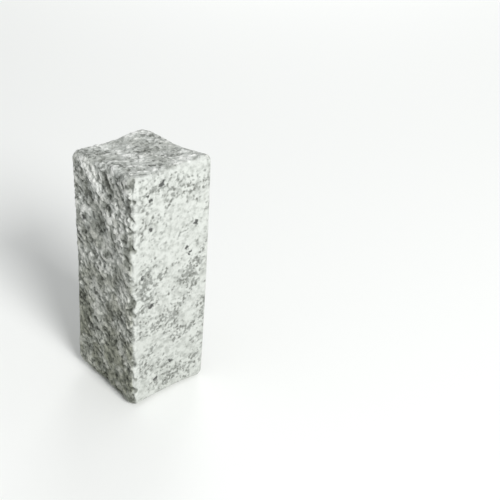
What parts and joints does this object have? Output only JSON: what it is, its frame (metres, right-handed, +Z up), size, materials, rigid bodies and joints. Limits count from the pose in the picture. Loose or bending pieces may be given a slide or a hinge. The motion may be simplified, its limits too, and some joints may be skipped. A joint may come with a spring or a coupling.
{
  "type": "granite palisade",
  "caption": "Upright hand-split granite palisade stone with hollow rough faces and knocked-off arrises, for garden edging and low retaining borders.",
  "frame": {"origin": "middle of the flat bed that the stone stands on, under the middle of its bounding box", "axes": "+Z up along the stone to its head; the fine pale split face is at -Y and the coarse split face at -X"},
  "size_m": [0.1169, 0.1157, 0.3283],
  "materials": {
    "granite": "hand-split grey granite, matt, with dark mica specks"
  },
  "bodies": {
    "root": {"palisade": "granite"}
  },
  "joints": []
}
